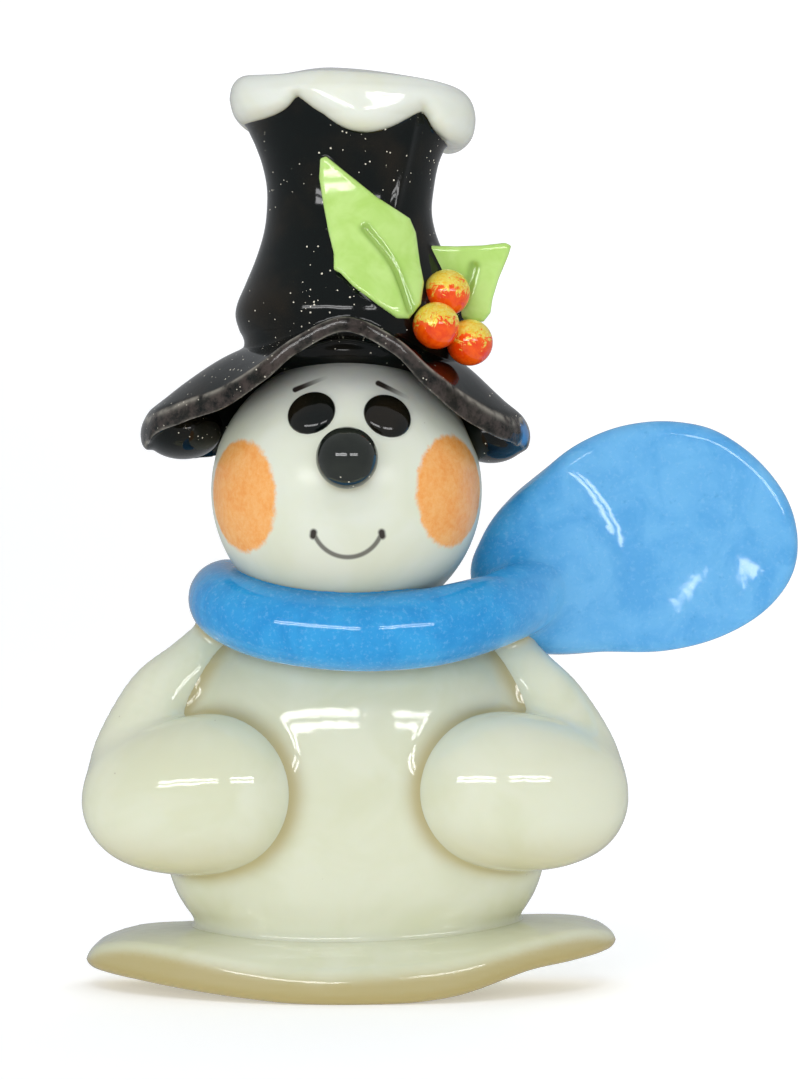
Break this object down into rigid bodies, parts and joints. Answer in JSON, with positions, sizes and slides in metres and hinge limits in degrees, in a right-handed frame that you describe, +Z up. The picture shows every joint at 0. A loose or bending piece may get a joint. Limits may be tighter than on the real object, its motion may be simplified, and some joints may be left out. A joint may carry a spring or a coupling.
{
  "type": "snowman ornament",
  "caption": "Flat-backed clay snowman ornament with a tall flared hat, a scarf with a big rounded tail, holly and a low wavy snow base.",
  "frame": {"origin": "middle of the flat foot under the snow base, on the snowman's centreline", "axes": "+Z up, the snowman looks along -Y, +X to the viewer's right, flat back towards +Y"},
  "size_m": [0.0738, 0.0304, 0.0942],
  "materials": {
    "clay_body": "cream white polymer clay under clear glaze",
    "clay_white": "white polymer clay under clear glaze",
    "clay_blue": "mottled blue polymer clay under clear glaze",
    "clay_light_blue": "light blue polymer clay under clear glaze",
    "clay_black": "black polymer clay under clear glaze",
    "clay_green": "light green polymer clay under clear glaze",
    "clay_red": "orange red polymer clay with gold foil, under clear glaze",
    "cheek_colour": "orange chalk under the glaze",
    "ink": "dark pen marks under the glaze",
    "wire": "drawn steel wire"
  },
  "bodies": {
    "root": {"snow_base": "clay_body", "torso": "clay_body", "arm_left": "clay_body", "arm_right": "clay_body", "head": "clay_white", "snow_cap": "clay_white", "scarf_wrap": "clay_blue", "scarf_tail": "clay_light_blue", "hat_brim": "clay_black", "hat_crown": "clay_black", "nose": "clay_black", "eye_left": "clay_black", "eye_right": "clay_black", "holly_leaf_large": "clay_green", "holly_leaf_small": "clay_green", "berry_front": "clay_red", "berry_top": "clay_red", "berry_low": "clay_red", "cheek_left": "cheek_colour", "cheek_right": "cheek_colour", "mouth": "ink", "brow_left": "ink", "brow_right": "ink", "neck_pin": "wire", "hat_pin": "wire", "hanging_eye": "wire"}
  },
  "joints": []
}
